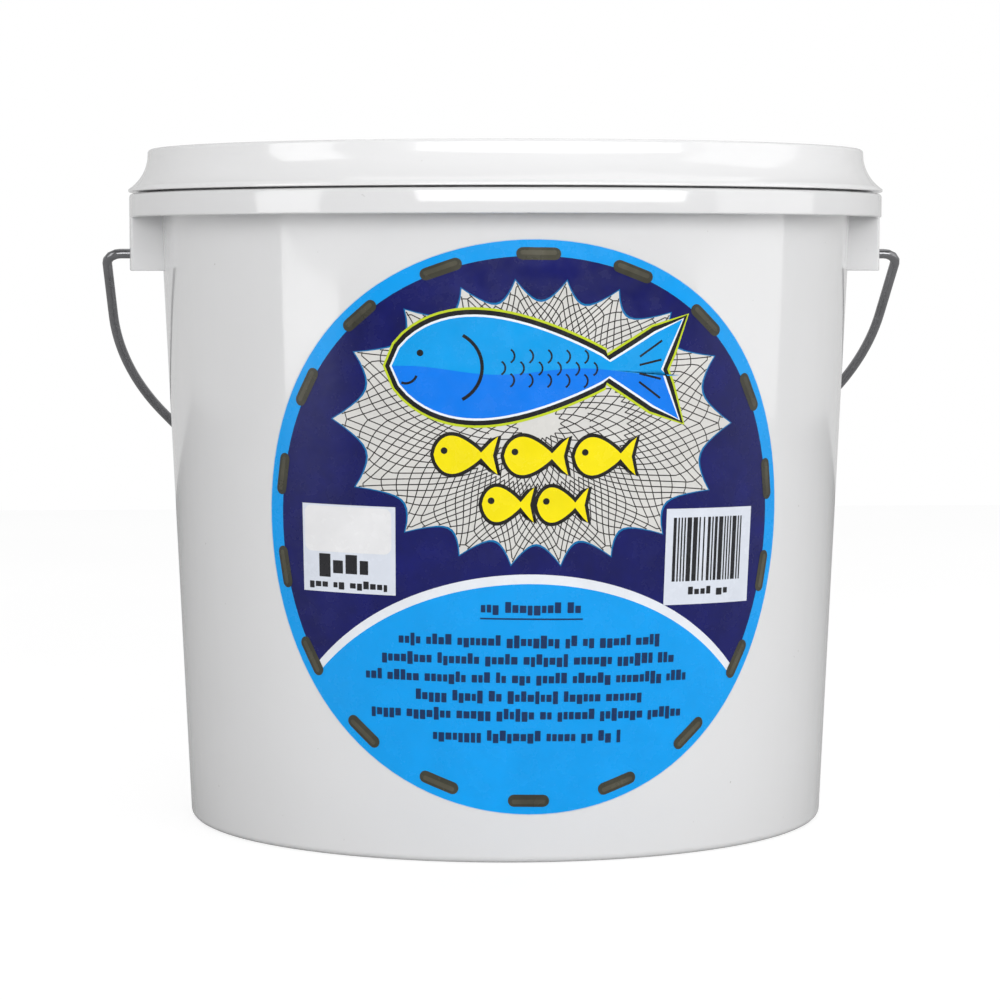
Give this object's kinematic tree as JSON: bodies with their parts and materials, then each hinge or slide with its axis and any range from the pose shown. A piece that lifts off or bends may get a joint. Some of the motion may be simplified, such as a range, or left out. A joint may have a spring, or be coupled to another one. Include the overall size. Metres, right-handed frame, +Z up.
{
  "type": "cast net in a storage pail",
  "caption": "Throw net packed in a round white plastic pail with press-down lid and wire bail: netting, lead line, horn, brail lines, swivel and hand line inside.",
  "frame": {"origin": "centre of the pail's foot ring, on the ground", "axes": "+Z up; X through the two bail lugs; -Y towards the front label; the bail hangs on the +Y side"},
  "size_m": [0.2898, 0.2706, 0.2391],
  "materials": {
    "pail_plastic": "gloss",
    "label_vinyl": "gloss",
    "net_monofilament": "satin",
    "lead_bundle": "matte",
    "lead_line_cord": "matte",
    "lead": "satin",
    "lashing_twine": "matte",
    "crimp_metal": "satin",
    "horn_plastic": "satin",
    "horn_twine": "matte",
    "brail_monofilament": "satin",
    "swivel_brass": "polished",
    "hand_line_rope": "matte",
    "tie_plastic": "satin",
    "lid_plastic": "gloss",
    "gasket_rubber": "matte",
    "bail_steel": "polished",
    "grip_plastic": "satin"
  },
  "bodies": {
    "pail": {"pail_body": "pail_plastic", "front_label": "label_vinyl", "netting": "net_monofilament", "lead_line_bundle": "lead_bundle", "lead_line": "lead_line_cord", "lead_weights": "lead", "lead_line_lashing": "lashing_twine", "lead_line_crimp": "crimp_metal", "horn": "horn_plastic", "horn_lashing": "horn_twine", "brail_lines": "brail_monofilament", "brail_crimp": "crimp_metal", "swivel_eye_lower": "swivel_brass", "swivel_eye_upper": "swivel_brass", "hand_line_coil": "hand_line_rope", "hand_line_ties": "tie_plastic", "hand_line_lead": "hand_line_rope", "hand_line_knot": "hand_line_rope", "wrist_loop": "hand_line_rope", "wrist_loop_knot": "hand_line_rope"},
    "lid": {"lid": "lid_plastic", "lid_gasket": "gasket_rubber"},
    "bail": {"bail_wire": "bail_steel"},
    "grip": {"bail_grip": "grip_plastic"},
    "swivel": {"swivel_barrel": "swivel_brass"}
  },
  "joints": [
    {"name": "lid_lift", "type": "slide", "parent": "pail", "child": "lid", "axis": [0, 0, 1], "range_m": [0, 0.2]},
    {"name": "bail_swing", "type": "hinge", "parent": "pail", "child": "bail", "pos_m": [0, 0, 0.2022], "axis": [1, 0, 0], "range_deg": [0, 259.99]},
    {"name": "grip_spin", "type": "hinge", "parent": "bail", "child": "grip", "pos_m": [0, 0.12641, 0.09615], "axis": [1, 0, 0], "continuous": true},
    {"name": "swivel_spin", "type": "hinge", "parent": "pail", "child": "swivel", "pos_m": [0.0397, 0, 0.1871], "axis": [1, 0, 0], "continuous": true}
  ]
}
